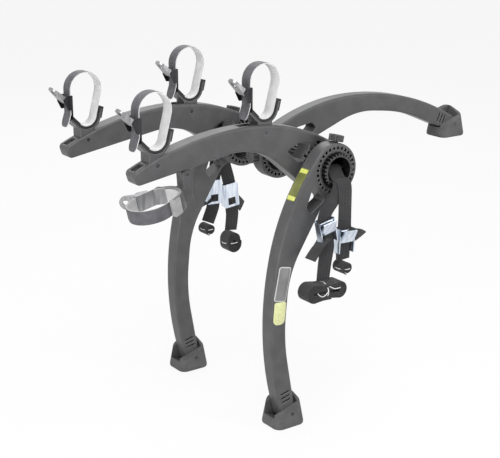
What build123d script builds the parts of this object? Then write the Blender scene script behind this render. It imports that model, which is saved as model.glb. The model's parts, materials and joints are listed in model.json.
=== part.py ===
from build123d import *
import math
import os

# Two-bike trunk rack with arched limbs clamped on one splined tube.
# +X points at the vehicle, +Z is up and Y runs along the tube; the origin is the
# tube's centre. "Right" is -Y, the right hand of a person who faces the tailgate.

# Spine tube
TUBE_LENGTH = 316.0
TUBE_BORE_R = 21.5
SPLINE_ROOT_R = 24.2
SPLINE_TIP_R = 27.2
SPLINE_WIDTH = 3.0
SPLINE_COUNT = 28
STRAP_PIN_R = 4.0
STRAP_PIN_INSET = 20.0
PIN_CLEAR = 0.05

# Hubs
HUB_R = 41.0
HUB_CLEAR = 0.3
RING_COUNT = 28
RING_MID_R = 33.8
RING_RADIAL = 4.6
RING_TANGENT = 4.3
RING_DEPTH = 6.0
LEG_Y = 137.0
ARM_Y = 101.0

# Legs: one arched moulding, a little shorter above the tube
LEG_WIDTH = 26.0
LOWER_LEG_REACH = 384.0
LOWER_LEG_ANGLE = -102.7
UPPER_LEG_REACH = 374.0
UPPER_LEG_ANGLE = 0.5
LEG_CROWN = 76.5
LEG_EDGE_R = 3.5
LEG_ROOT_R = 30.0
LEG_INNER_R = 150.0
LEG_SHIN_R = 300.0
ANKLE_R = 13.0
ANKLE_SLOPE = 26.0
LEG_TANGENT_ANGLE = 118.0
LEG_CROWN_SHARE = 0.365
LEG_INNER_SHARES = ((0.052, -0.02), (0.4245, 0.64), (0.69, 0.47))
LEG_WINDOW_SHARES = ((0.62, 0.9), (1.5, 1.03), (1.72, 0.8), (1.14, 0.23))
LEG_WINDOW_R = 4.0
GILL_COUNT = 3
GILL_PITCH = 7.0
GILL_WIDTH = 2.6
GILL_LENGTH = 17.0
GILL_DEPTH = 3.0
GILL_FROM_ANKLE = 21.0

# Arms
ARM_WIDTH = 28.0
ARM_REACH = 328.0
ARM_CROWN = 77.0
ARM_EDGE_R = 3.5
ARM_INNER_R = 115.0
ARM_TIP_R = 7.0
ARM_TOP_TANGENT_ANGLE = 120.0
ARM_BOTTOM_TANGENT_ANGLE = -50.0
ARM_CROWN_SHARE = 0.396
ARM_TIP_TOP_SHARE = 0.434
ARM_APEX_SHARES = (0.3674, 0.617)
ARM_TIP_BOTTOM_SHARES = (0.982, 0.195)
ARM_WINDOW_SHARES = ((1.6, 0.76), (1.07, 1.0), (0.55, 0.93), (0.6, 0.7), (0.85, 0.3), (1.15, 0.32))
ARM_WINDOW_R = 3.0
EYE_SHARES = ((0.32, 0.97), (-0.06, 0.96), (0.14, 0.8))
EYE_R = 1.2
CHANNEL_WIDTH = 14.0
CHANNEL_DEPTH = 5.0
CHANNEL_LENGTH = 26.0
CHANNEL_LIP = 5.0

# Clamp of each limb: knob with stud, and a shoe that bears on the splines
KNOB_R = 11.5
KNOB_HEIGHT = 9.5
KNOB_GAP = 1.5
KNOB_FLUTE_R = 1.6
KNOB_FLUTE_COUNT = 12
KNOB_DISH_R = 7.0
KNOB_DISH_DEPTH = 1.2
STUD_R = 4.0
STUD_CLEAR = 0.1
SHOE_LENGTH = 16.0
SHOE_WIDTH = 12.0
SHOE_THICKNESS = 4.0
SHOE_CLEAR = 0.3

# Feet
FOOT_LENGTH = 56.0
FOOT_WIDTH = 50.0
FOOT_TOP_LENGTH = 44.0
FOOT_TOP_WIDTH = 39.0
FOOT_HEIGHT = 50.0
FOOT_CORNER_R = 13.0
FOOT_SOLE = 6.0
FOOT_PIVOT_HEIGHT = 22.0
FOOT_PIVOT_BACK = 2.0
FOOT_RIM_HEIGHT = 37.0
FOOT_RIM_SLOPE_X = 0.3
FOOT_RIM_SLOPE_Y = 0.42
FOOT_CLEAR = 0.5
FOOT_LEAN_MIN = -10.0
FOOT_LEAN_MAX = 70.0
FOOT_LEAN_STEPS = 6
FOOT_PIN_R = 3.0

# Cradles: stack from the saddle up to the ladder strap
CRADLE_WIDTH = 24.0
STRAP_WIDTH = 21.0
STRAP_T = 2.0
LINER_T = 3.4
STACK_GAP = 0.15
LOOP_BOTTOM_R = 16.0
LOOP_TOP_R = 26.0
LOOP_SPREAD = 39.5
PRONG_LENGTH = 14.0
SADDLE_WALL = 2.6
LINER_BACK_T = 1.6
LEFT_LIP_LENGTH = 15.5
LEFT_LIP_ANGLE = 225.0
NECK_HALF = 12.0
NECK_DROP = 21.0
TONGUE_HALF = 9.0
TONGUE_GAP = 0.2
TAIL_R = 7.0
TAIL_START = 27.5
TAIL_LENGTH = 8.0
OUTER_SEAT_X = -289.5
OUTER_SEAT_Z = 57.0
INNER_SEAT_X = -104.0
INNER_SEAT_Z = 79.5
SEATS = ((OUTER_SEAT_X, OUTER_SEAT_Z), (INNER_SEAT_X, INNER_SEAT_Z))
SADDLE_SCREW_R = 2.0
SADDLE_SCREW_HEAD_R = 3.4
SADDLE_SCREW_HEAD = 1.8
SADDLE_SCREW_DROP = 16.0

# Ratchet buckle of a ladder strap; its heights are measured from the strap's bend
PLATE_T = 1.5
CHEEK_T = 1.2
BUCKLE_GAP = 0.4
BUCKLE_TOP = 26.0
BUCKLE_DEPTH = 13.0
CHEEK_RISE = 4.0
CHEEK_CORNER_R = 1.8
LEVER_BARREL_R = 4.0
LEVER_PIVOT_RISE = 17.5
LEVER_LENGTH = 31.0
LEVER_ANGLE = 136.0
LEVER_T = 3.0
LEVER_HOLE_SHARES = (0.52, 0.42)
PIVOT_R = 1.5

# Stabiliser cradle under the tip of the right arm
SWAY_X = -246.0
SWAY_Z = -11.5
SWAY_TILT = 13.0
SWAY_BOTTOM_R = 24.0
SWAY_TOP_R = 32.0
SWAY_SPREAD = 22.0
SWAY_PRONG_LENGTH = 12.0
SWAY_LIP_LENGTH = 15.5
SWAY_TAIL_START = 27.5
SWAY_NECK = 16.0
SWAY_NECK_HALF = 9.0
SWAY_STEM_WIDTH = 18.0
SWAY_EAR_R = 8.0
SWAY_PIVOT_X = -238.0
SWAY_PIVOT_Z = 19.5
SWAY_PIN_R = 3.0
SWAY_LUG_T = 6.0
SWAY_CLEAR = 0.35

# Tie-down webbing with cam buckles at both mouths of the tube
WEB_WIDTH = 25.0
WEB_T = 1.8
WEB_HANG_Y = 166.0
ROLL_PITCH = 2.5
ROLL_FIRST_R = 2.4
CAM_SIDE_GAP = 0.4
CAM_FRAME_WALL = 2.0
CAM_FRAME_DEPTH = 10.0
CAM_FRAME_LENGTH = 42.0
CAM_WINDOW_SHARE = 0.6
CAM_BAR_R = 2.0
CAM_LENGTH = 20.0
CAM_T = 2.4
CAM_BARREL_R = 3.8
CAM_REST_ANGLE = 155.0

# Cam buckles: x, z and the direction of the strap that runs down through them
RIGHT_CAMS = ((-31.0, -86.0, -78.0), (5.0, -106.0, -93.0))
LEFT_CAMS = ((-11.0, -101.0, -92.0), (24.0, -112.0, -84.0))

# Rolls: x, distance from the middle, z, slant, length of the straight runs and count of half turns
# Routes of the webbing above and below its cam buckle: x, distance from the tube's middle, and z
UNDER_ROUTE = ((0.0, 138.0, -5.2), (0.0, 144.0, -8.0), (0.0, 150.0, -15.5), (0.0, 160.0, -16.0),
               (-3.0, 165.2, -20.0))
OVER_ROUTE = ((0.5, 138.0, 5.2), (0.5, 143.5, 4.0), (0.7, 149.0, -5.0), (1.0, 155.0, -12.8), (2.0, 161.5, -13.2),
              (3.5, 168.2, -19.0))
RIGHT_ROUTES = (
    (UNDER_ROUTE + ((-11.0, 166.0, -34.0),), ((-29.0, 166.0, -125.0), (-34.0, 166.0, -164.0))),
    (OVER_ROUTE + ((4.6, 168.2, -44.0),), ((4.2, 166.0, -139.5),)),
)
RIGHT_ROLLS = ((-34.0, 166.0, -178.7, -3.0, 48.0, 10), (4.0, 166.0, -148.2, 0.0, 0.0, 6))
LEFT_ROUTES = (
    (UNDER_ROUTE + ((-4.0, 166.0, -40.0),), ((-18.0, 166.0, -140.0), (-24.0, 166.0, -155.5))),
    (OVER_ROUTE + ((10.0, 168.2, -48.0),), ((28.0, 166.0, -150.0), (24.0, 166.0, -178.0))),
)
LEFT_ROLLS = ((-26.0, 166.0, -163.9, 0.0, 0.0, 6), (23.0, 166.0, -195.8, 90.0, 8.0, 10))

# Cuts run past the faces that they leave
OVERRUN = 2.0

os.makedirs("parts", exist_ok=True)


def save(part, name):
    """Label a finished piece and write it as its own STEP file."""
    part.part.label = name
    export_step(part.part, f"parts/{name}.step")


def polar(radius, degrees):
    """Point on a circle about the origin."""
    return Vector(radius * math.cos(math.radians(degrees)), radius * math.sin(math.radians(degrees)))


def side_plane(y):
    """Side view at one station of the tube: local x is +X and local y is +Z."""
    return Plane(origin=(0, y, 0), x_dir=(1, 0, 0), z_dir=(0, -1, 0))


def limb_plane(y, degrees, bulge_sign):
    """Side view along a limb's chord, with local y on the side that the limb bulges to."""
    chord = polar(1, degrees)
    return Plane(origin=(0, y, 0), x_dir=(chord.X, 0, chord.Y), z_dir=(0, -bulge_sign, 0))


def clamp_plane(frame, radius):
    """Plane across the clamp stud, which leaves the hub opposite the limb."""
    origin = frame.from_local_coords(Vector(-radius, 0, 0))
    return Plane(origin=origin, x_dir=frame.z_dir, z_dir=-frame.x_dir)


HUB_BORE_R = SPLINE_TIP_R + HUB_CLEAR
LOWER_LEFT = limb_plane(LEG_Y, LOWER_LEG_ANGLE, -1)
LOWER_RIGHT = limb_plane(-LEG_Y, LOWER_LEG_ANGLE, -1)
UPPER = limb_plane(0, UPPER_LEG_ANGLE, 1)
ARM_LEFT = Plane(origin=(0, ARM_Y, 0), x_dir=(-1, 0, 0), z_dir=(0, 1, 0))
ARM_RIGHT = Plane(origin=(0, -ARM_Y, 0), x_dir=(-1, 0, 0), z_dir=(0, 1, 0))


def limb_edges(solid):
    """Long edges of a limb's two side faces, for its rounding."""
    sides = solid.faces().filter_by(Axis.Y)
    return ShapeList(edge for face in sides for edge in face.outer_wire().edges())


def leg_outline(reach):
    """Side view of a leg: tangent arcs outside, filleted lines inside, round ankle."""
    start = polar(HUB_R, LEG_TANGENT_ANGLE)
    crown = Vector(LEG_CROWN_SHARE * reach, LEG_CROWN)
    ankle = Vector(reach, 0)
    ankle_top = ankle + polar(ANKLE_R, 90 - ANKLE_SLOPE)
    ankle_bottom = ankle - polar(ANKLE_R, 90 - ANKLE_SLOPE)
    inner = [Vector(u * reach, v * LEG_CROWN) for u, v in LEG_INNER_SHARES]
    with BuildLine() as outline:
        shin = TangentArc(start, crown, tangent=polar(1, LEG_TANGENT_ANGLE - 90))
        TangentArc(crown, ankle_top, tangent=shin % 1)
        ThreePointArc(ankle_top, ankle + polar(ANKLE_R, -ANKLE_SLOPE), ankle_bottom)
        FilletPolyline(ankle_bottom, inner[2], inner[1], inner[0], radius=(LEG_SHIN_R, LEG_INNER_R))
        Line(inner[0], start)
    return outline.line


def arm_outline():
    """Side view of an arm: tangent to its hub above and below, with a blunt tip."""
    top_start = polar(HUB_R, ARM_TOP_TANGENT_ANGLE)
    bottom_start = polar(HUB_R, ARM_BOTTOM_TANGENT_ANGLE)
    crown = Vector(ARM_CROWN_SHARE * ARM_REACH, ARM_CROWN)
    tip_top = Vector(ARM_REACH, ARM_TIP_TOP_SHARE * ARM_CROWN)
    tip_bottom = Vector(ARM_TIP_BOTTOM_SHARES[0] * ARM_REACH, ARM_TIP_BOTTOM_SHARES[1] * ARM_CROWN)
    apex = Vector(ARM_APEX_SHARES[0] * ARM_REACH, ARM_APEX_SHARES[1] * ARM_CROWN)
    with BuildLine() as outline:
        rise = TangentArc(top_start, crown, tangent=polar(1, ARM_TOP_TANGENT_ANGLE - 90))
        TangentArc(crown, tip_top, tangent=rise % 1)
        Line(tip_top, tip_bottom)
        FilletPolyline(tip_bottom, apex, bottom_start, radius=ARM_INNER_R)
        Line(bottom_start, top_start)
    return outline.line


def arm_face():
    """Sketch of the arm's whole side view, on the sketch that is open."""
    with BuildSketch(Plane.XY) as face:
        with BuildLine():
            add(arm_outline())
        make_face()
        tips = face.vertices().group_by(Axis.X)[-1] + face.vertices().group_by(Axis.X)[-2]
        fillet(tips, radius=ARM_TIP_R)
        Circle(HUB_R)
    return face.sketch


def hub_features(frame, width, ring_signs):
    """Bore, rings of blind pockets, stud hole and shoe seat of a limb's hub."""
    with BuildSketch(frame) as bore:
        Circle(HUB_BORE_R)
    extrude(bore.sketch, amount=width / 2 + OVERRUN, both=True, mode=Mode.SUBTRACT)
    for sign in ring_signs:
        with BuildSketch(frame.offset(sign * width / 2)) as ring:
            with PolarLocations(RING_MID_R, RING_COUNT, start_angle=180 / RING_COUNT):
                Rectangle(RING_RADIAL, RING_TANGENT)
        extrude(ring.sketch, amount=-sign * RING_DEPTH, mode=Mode.SUBTRACT)
    with BuildSketch(clamp_plane(frame, 0)) as stud:
        Circle(STUD_R + STUD_CLEAR)
    extrude(stud.sketch, amount=HUB_R + OVERRUN, mode=Mode.SUBTRACT)
    with BuildSketch(clamp_plane(frame, 0)) as shoe:
        Rectangle(SHOE_WIDTH + 2 * SHOE_CLEAR, SHOE_LENGTH + 2 * SHOE_CLEAR)
    extrude(shoe.sketch, amount=HUB_BORE_R + SHOE_THICKNESS + SHOE_CLEAR, mode=Mode.SUBTRACT)


def make_leg(name, frame, reach, ring_signs):
    """Arched leg with its hub, lightening window, gills and ankle bore."""
    with BuildPart() as leg:
        with BuildSketch(frame) as side:
            with BuildLine():
                add(leg_outline(reach))
            make_face()
            Circle(HUB_R)
            fillet(side.vertices().sort_by_distance(Vector(HUB_R, 0))[0], radius=LEG_ROOT_R)
        extrude(amount=LEG_WIDTH / 2, both=True)
        fillet(limb_edges(leg.part), radius=LEG_EDGE_R)
        with BuildSketch(frame) as window:
            with BuildLine():
                Polyline(*[Vector(u * HUB_R, v * HUB_R) for u, v in LEG_WINDOW_SHARES], close=True)
            make_face()
            fillet(window.vertices(), radius=LEG_WINDOW_R)
        extrude(amount=LEG_WIDTH / 2 + OVERRUN, both=True, mode=Mode.SUBTRACT)
        hub_features(frame, LEG_WIDTH, ring_signs)
        gill_start = Vector(reach, 0) - polar(GILL_FROM_ANKLE, -ANKLE_SLOPE)
        for sign in (-1, 1):
            with BuildSketch(frame.offset(sign * LEG_WIDTH / 2)):
                for index in range(GILL_COUNT):
                    spot = gill_start - polar(index * GILL_PITCH, -ANKLE_SLOPE)
                    with Locations(Location((spot.X, spot.Y), -ANKLE_SLOPE)):
                        SlotOverall(GILL_LENGTH, GILL_WIDTH, rotation=90)
            extrude(amount=-sign * GILL_DEPTH, mode=Mode.SUBTRACT)
        with BuildSketch(frame):
            with Locations((reach, 0)):
                Circle(FOOT_PIN_R + PIN_CLEAR)
        extrude(amount=LEG_WIDTH, both=True, mode=Mode.SUBTRACT)
    save(leg, name)


def make_arm(name, frame, side, lug):
    """Arched arm with its hub, windows, top channels and seats for two saddles."""
    outer, inner = (-seat[0] + NECK_HALF + CHANNEL_LIP for seat in SEATS)
    with BuildPart() as arm:
        with BuildSketch(frame):
            add(side)
        extrude(amount=ARM_WIDTH / 2, both=True)
        fillet(limb_edges(arm.part), radius=ARM_EDGE_R)
        for shares, corner in ((ARM_WINDOW_SHARES, ARM_WINDOW_R), (EYE_SHARES, EYE_R)):
            with BuildSketch(frame) as window:
                with BuildLine():
                    Polyline(*[Vector(u * HUB_R, v * HUB_R) for u, v in shares], close=True)
                make_face()
                fillet(window.vertices(), radius=corner)
            extrude(amount=ARM_WIDTH / 2 + OVERRUN, both=True, mode=Mode.SUBTRACT)
        for start, end in ((outer, ARM_REACH - CHANNEL_LIP), (inner, inner + CHANNEL_LENGTH)):
            with BuildSketch(frame):
                add(side)
                with Locations((0, -CHANNEL_DEPTH)):
                    add(side, mode=Mode.SUBTRACT)
                with Locations(((start + end) / 2, ARM_CROWN)):
                    Rectangle(end - start, 2 * ARM_CROWN, mode=Mode.INTERSECT)
            extrude(amount=CHANNEL_WIDTH / 2, both=True, mode=Mode.SUBTRACT)
        for seat in SEATS:
            view = seat_plane(frame.origin.Y, seat)
            with BuildSketch(view):
                with Locations((0, -NECK_DROP / 2 - TONGUE_GAP / 2)):
                    Rectangle(2 * (NECK_HALF + TONGUE_GAP), NECK_DROP + TONGUE_GAP)
            extrude(amount=TONGUE_HALF + TONGUE_GAP, both=True, mode=Mode.SUBTRACT)
            with BuildSketch(view):
                with Locations((0, -SADDLE_SCREW_DROP)):
                    Circle(SADDLE_SCREW_R + PIN_CLEAR)
            extrude(amount=ARM_WIDTH, both=True, mode=Mode.SUBTRACT)
            for sign in (-1, 1):
                with BuildSketch(view.offset(sign * ARM_WIDTH / 2)):
                    with Locations((0, -SADDLE_SCREW_DROP)):
                        Circle(SADDLE_SCREW_HEAD_R + PIN_CLEAR)
                extrude(amount=-sign * SADDLE_SCREW_HEAD, mode=Mode.SUBTRACT)
        hub_features(frame, ARM_WIDTH, (-1,))
        if lug:
            with BuildSketch(frame):
                with Locations((-SWAY_PIVOT_X, SWAY_PIVOT_Z)):
                    Circle(SWAY_EAR_R)
                with Locations((-SWAY_PIVOT_X, SWAY_PIVOT_Z + SWAY_EAR_R)):
                    Rectangle(2 * SWAY_EAR_R, 2 * SWAY_EAR_R)
            extrude(amount=SWAY_LUG_T / 2, both=True)
            with BuildSketch(frame):
                with Locations((-SWAY_PIVOT_X, SWAY_PIVOT_Z)):
                    Circle(SWAY_PIN_R + PIN_CLEAR)
            extrude(amount=SWAY_LUG_T, both=True, mode=Mode.SUBTRACT)
    save(arm, name)


LOOP = dict(bottom=LOOP_BOTTOM_R, top=LOOP_TOP_R, spread=LOOP_SPREAD,
            prong=PRONG_LENGTH, lip=LEFT_LIP_LENGTH, tail=TAIL_START)
SWAY_LOOP = dict(bottom=SWAY_BOTTOM_R, top=SWAY_TOP_R, spread=SWAY_SPREAD,
                 prong=SWAY_PRONG_LENGTH, lip=SWAY_LIP_LENGTH, tail=SWAY_TAIL_START)


def loop_centre(loop):
    """Centre of the trough's arc above the saddle's seat."""
    return Vector(0, loop["bottom"] + STRAP_T / 2 + LINER_T + 2 * STACK_GAP)


def loop_tilt(loop):
    """Lean of the straight run between the trough's arc and the loop's upper arc."""
    return math.degrees(math.asin((loop["top"] - loop["bottom"]) / loop["spread"]))


def trough_points(loop, radius, lip, prong):
    """Ends of a trough line at one distance from the trough's centre, left to right."""
    centre = loop_centre(loop)
    tilt = loop_tilt(loop)
    left = centre + polar(radius, LEFT_LIP_ANGLE)
    right = centre + polar(radius, -tilt)
    return left + polar(lip, LEFT_LIP_ANGLE - 90), left, right, right + polar(prong, 90 - tilt)


def trough_line(loop, radius, lip, prong):
    """Lip, arc and prong of a trough line, as edges of the line that is open."""
    lip_end, left, right, prong_end = trough_points(loop, radius, lip, prong)
    Line(lip_end, left)
    CenterArc(loop_centre(loop), radius, LEFT_LIP_ANGLE, 360 - LEFT_LIP_ANGLE - loop_tilt(loop))
    Line(right, prong_end)
    return lip_end, prong_end


def strap_side(loop, shift):
    """One face of the ladder strap, from the trough round to the end of its tail."""
    centre = loop_centre(loop)
    upper = centre + Vector(0, loop["spread"])
    tilt = loop_tilt(loop)
    side = -loop["top"] - shift
    bend = Vector(-loop["top"] - TAIL_R, loop["tail"])
    start = centre + polar(loop["bottom"] + shift, LEFT_LIP_ANGLE)
    CenterArc(centre, loop["bottom"] + shift, LEFT_LIP_ANGLE, 360 - LEFT_LIP_ANGLE - tilt)
    Line(centre + polar(loop["bottom"] + shift, -tilt), upper + polar(loop["top"] + shift, -tilt))
    CenterArc(upper, loop["top"] + shift, -tilt, 180 + tilt)
    Line(Vector(side, upper.Y), Vector(side, bend.Y))
    CenterArc(bend, TAIL_R - shift, 0, -90)
    end = bend + Vector(-TAIL_LENGTH, shift - TAIL_R)
    Line(bend + Vector(0, shift - TAIL_R), end)
    return start, end


def make_strap(name, plane, loop):
    """Ladder strap of one cradle, closed round to the end of its tail."""
    with BuildPart() as strap:
        with BuildSketch(plane):
            with BuildLine():
                outer_start, outer_end = strap_side(loop, STRAP_T / 2)
                inner_start, inner_end = strap_side(loop, -STRAP_T / 2)
                Line(outer_start, inner_start)
                Line(outer_end, inner_end)
            make_face()
        extrude(amount=STRAP_WIDTH / 2, both=True)
    save(strap, name)


def make_liner(name, plane, loop):
    """Rubber liner of one cradle: the trough's lining and a sleeve over the prong."""
    inside = loop["bottom"] + STRAP_T / 2 + STACK_GAP
    outside = inside + LINER_T
    back_inside = outside + SADDLE_WALL + 2 * STACK_GAP
    back_outside = back_inside + LINER_BACK_T
    top = loop["prong"] + LINER_T
    with BuildPart() as liner:
        with BuildSketch(plane):
            with BuildLine():
                lip_in, tip_in = trough_line(loop, inside, loop["lip"], top)
                lip_out, core_tip = trough_line(loop, outside, loop["lip"], loop["prong"] + STACK_GAP)
                back = trough_points(loop, back_inside, 0, loop["prong"] + STACK_GAP)
                back_out = trough_points(loop, back_outside, 0, top)
                Line(lip_in, lip_out)
                Polyline(core_tip, back[3], back[2], back_out[2], back_out[3], tip_in)
            make_face()
        extrude(amount=CRADLE_WIDTH / 2, both=True)
    save(liner, name)


def seat_plane(y, seat):
    """Side view with its origin at the bottom of a saddle's trough."""
    return Plane(origin=(seat[0], y, seat[1]), x_dir=(1, 0, 0), z_dir=(0, -1, 0))


def saddle_outline(loop, neck_half, neck_drop):
    """Side view of a saddle: trough with its lip and prong, on a straight neck."""
    centre = loop_centre(loop)
    seat = centre.Y
    back = seat + SADDLE_WALL
    neck_angle = math.degrees(math.acos(neck_half / back))
    lip_in, tip_in = trough_line(loop, seat, loop["lip"], loop["prong"])
    lip_out, lip_root = trough_points(loop, back, loop["lip"], 0)[:2]
    right, tip_out = trough_points(loop, back, 0, loop["prong"])[2:]
    Polyline(tip_in, tip_out, right)
    CenterArc(centre, back, -loop_tilt(loop), loop_tilt(loop) - neck_angle)
    Polyline(centre + polar(back, -neck_angle), Vector(neck_half, -neck_drop),
             Vector(-neck_half, -neck_drop), centre + polar(back, 180 + neck_angle))
    CenterArc(centre, back, 180 + neck_angle, LEFT_LIP_ANGLE - 180 - neck_angle)
    Polyline(lip_root, lip_out, lip_in)


def make_saddle(name, frame, side, seat):
    """Saddle of one cradle: it stands on the arm, with a tongue in the arm's pocket."""
    with BuildPart() as saddle:
        with BuildSketch(seat_plane(frame.origin.Y, seat)):
            with BuildLine():
                saddle_outline(LOOP, NECK_HALF, NECK_DROP)
            make_face()
        extrude(amount=CRADLE_WIDTH / 2, both=True)
        for sign in (-1, 1):
            with BuildSketch(frame.offset(sign * TONGUE_HALF)):
                add(side)
            extrude(amount=sign * CRADLE_WIDTH, mode=Mode.SUBTRACT)
        with BuildSketch(seat_plane(frame.origin.Y, seat)):
            with Locations((0, -SADDLE_SCREW_DROP)):
                Circle(SADDLE_SCREW_R + PIN_CLEAR)
        extrude(amount=CRADLE_WIDTH, both=True, mode=Mode.SUBTRACT)
    save(saddle, name)


def make_saddle_screws(name, frame):
    """Cross screws of an arm's two saddles, with a head on each side."""
    with BuildPart() as screws:
        for seat in SEATS:
            for radius, start in ((SADDLE_SCREW_R, 0), (SADDLE_SCREW_HEAD_R, ARM_WIDTH / 2 - SADDLE_SCREW_HEAD)):
                for sign in (-1, 1):
                    with BuildSketch(seat_plane(frame.origin.Y, seat).offset(sign * start)):
                        with Locations((0, -SADDLE_SCREW_DROP)):
                            Circle(radius)
                    extrude(amount=sign * (ARM_WIDTH / 2 - start))
    save(screws, name)


def buckle_plate(loop):
    """Edge view of a buckle's base plate, bent to meet the strap's lower end."""
    front = -loop["top"] + STRAP_T / 2 + BUCKLE_GAP
    top = loop["tail"] + BUCKLE_TOP
    layer = loop["bottom"] + STRAP_T / 2
    corner_out = trough_points(loop, layer, 0, 0)[1]
    corner_in = trough_points(loop, layer - PLATE_T, 0, 0)[1]
    lean = polar(1, LEFT_LIP_ANGLE - 90)
    bend_out = corner_out + lean * ((front - corner_out.X) / lean.X)
    bend_in = corner_in + lean * ((front + PLATE_T - corner_in.X) / lean.X)
    Polyline(Vector(front, top), bend_out, corner_out, corner_in, bend_in,
             Vector(front + PLATE_T, top), close=True)


def lever_pivot(loop):
    """Centre of the ratchet lever's barrel, clear of the strap."""
    return Vector(-loop["top"] - STRAP_T / 2 - BUCKLE_GAP - LEVER_BARREL_R,
                  loop["tail"] + LEVER_PIVOT_RISE)


def make_buckle(name, plane, loop):
    """Ratchet buckle: base plate, two cheeks and the rivet of its lever."""
    front = -loop["top"] + STRAP_T / 2 + BUCKLE_GAP
    low = loop["tail"] + CHEEK_RISE
    top = loop["tail"] + BUCKLE_TOP
    pivot = lever_pivot(loop)
    inside = STRAP_WIDTH / 2 + BUCKLE_GAP
    with BuildPart() as buckle:
        with BuildSketch(plane) as cheek:
            with BuildLine():
                Polyline(Vector(front, low), Vector(front, top), Vector(front - BUCKLE_DEPTH / 2, top),
                         Vector(front - BUCKLE_DEPTH, pivot.Y), Vector(front - BUCKLE_DEPTH / 2, low),
                         close=True)
            make_face()
            fillet(cheek.vertices(), radius=CHEEK_CORNER_R)
        extrude(amount=inside + CHEEK_T, both=True)
        with BuildSketch(plane):
            with Locations((front - BUCKLE_DEPTH / 2, (low + top) / 2)):
                Rectangle(BUCKLE_DEPTH + OVERRUN, top - low + OVERRUN)
        extrude(amount=inside, both=True, mode=Mode.SUBTRACT)
        with BuildSketch(plane):
            with BuildLine():
                buckle_plate(loop)
            make_face()
        extrude(amount=inside + CHEEK_T, both=True)
        with BuildSketch(plane):
            with Locations((pivot.X, pivot.Y)):
                Circle(PIVOT_R)
        extrude(amount=inside + CHEEK_T, both=True)
    save(buckle, name)


def make_lever(name, plane, loop):
    """Ratchet lever: a barrel on the rivet and a thumb plate with an oval window."""
    pivot = lever_pivot(loop)
    half = STRAP_WIDTH / 2 - BUCKLE_GAP
    along = polar(1, LEVER_ANGLE)
    across = polar(1, LEVER_ANGLE - 90)
    tip = pivot + along * LEVER_LENGTH
    thumb = Plane(origin=plane.from_local_coords(pivot),
                  x_dir=plane.from_local_coords(along) - plane.origin,
                  z_dir=plane.from_local_coords(across) - plane.origin)
    with BuildPart() as lever:
        with BuildSketch(plane):
            with BuildLine():
                Polyline(pivot - across * LEVER_BARREL_R, tip - across * LEVER_T / 2,
                         tip + across * LEVER_T / 2, pivot + across * LEVER_BARREL_R, close=True)
            make_face()
            with Locations((pivot.X, pivot.Y)):
                Circle(LEVER_BARREL_R)
                Circle(PIVOT_R + PIN_CLEAR, mode=Mode.SUBTRACT)
        extrude(amount=half, both=True)
        with BuildSketch(thumb) as plan:
            with Locations((LEVER_LENGTH / 2 - LEVER_BARREL_R, 0)):
                Rectangle(LEVER_LENGTH + 2 * LEVER_BARREL_R, 2 * half)
            fillet(plan.vertices().sort_by(Axis.X)[-2:], radius=half - BUCKLE_GAP)
        extrude(amount=2 * LEVER_BARREL_R, both=True, mode=Mode.INTERSECT)
        with BuildSketch(thumb):
            with Locations((LEVER_LENGTH - half, 0)):
                Ellipse(half * LEVER_HOLE_SHARES[0], half * LEVER_HOLE_SHARES[1])
        extrude(amount=2 * LEVER_BARREL_R, both=True, mode=Mode.SUBTRACT)
    save(lever, name)


def make_cradle(prefix, plane, loop):
    """Liner, ladder strap, buckle and lever that every cradle has."""
    make_liner(prefix + "_liner", plane, loop)
    make_strap(prefix + "_strap", plane, loop)
    make_buckle(prefix + "_buckle", plane, loop)
    make_lever(prefix + "_lever", plane, loop)


def make_sway_bracket(name, frame, plane):
    """Stabiliser saddle whose neck turns up to two ears round the arm's lug."""
    pivot = Vector(-SWAY_PIVOT_X, SWAY_PIVOT_Z)
    seat = Vector(-SWAY_X, SWAY_Z)
    neck = seat + polar(SWAY_NECK, 180 - SWAY_TILT)
    with BuildPart() as bracket:
        with BuildSketch(plane):
            with BuildLine():
                saddle_outline(SWAY_LOOP, SWAY_NECK_HALF, SWAY_NECK)
            make_face()
        extrude(amount=CRADLE_WIDTH / 2, both=True)
        with BuildSketch(frame) as stem:
            with BuildLine():
                Polyline(pivot + Vector(-SWAY_EAR_R, 0), pivot + Vector(SWAY_EAR_R, 0),
                         seat - polar(SADDLE_WALL, -SWAY_TILT), neck + polar(CRADLE_WIDTH / 2, -90 - SWAY_TILT),
                         neck, close=True)
            make_face()
            with Locations((pivot.X, pivot.Y)):
                Circle(SWAY_EAR_R)
        extrude(amount=SWAY_STEM_WIDTH / 2, both=True)
        with BuildSketch(frame):
            with Locations((pivot.X, pivot.Y)):
                Circle(SWAY_EAR_R + SWAY_CLEAR)
            with Locations((pivot.X, pivot.Y + SWAY_EAR_R)):
                Rectangle(2 * (SWAY_EAR_R + SWAY_CLEAR), 2 * SWAY_EAR_R)
        extrude(amount=SWAY_LUG_T / 2 + SWAY_CLEAR, both=True, mode=Mode.SUBTRACT)
        with BuildSketch(frame):
            with Locations((pivot.X, pivot.Y)):
                Circle(SWAY_PIN_R)
        extrude(amount=SWAY_STEM_WIDTH, both=True, mode=Mode.SUBTRACT)
    save(bracket, name)
    with BuildPart() as pin:
        with BuildSketch(frame):
            with Locations((pivot.X, pivot.Y)):
                Circle(SWAY_PIN_R - PIN_CLEAR)
        extrude(amount=SWAY_STEM_WIDTH / 2, both=True)
    save(pin, "sway_pin")


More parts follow.
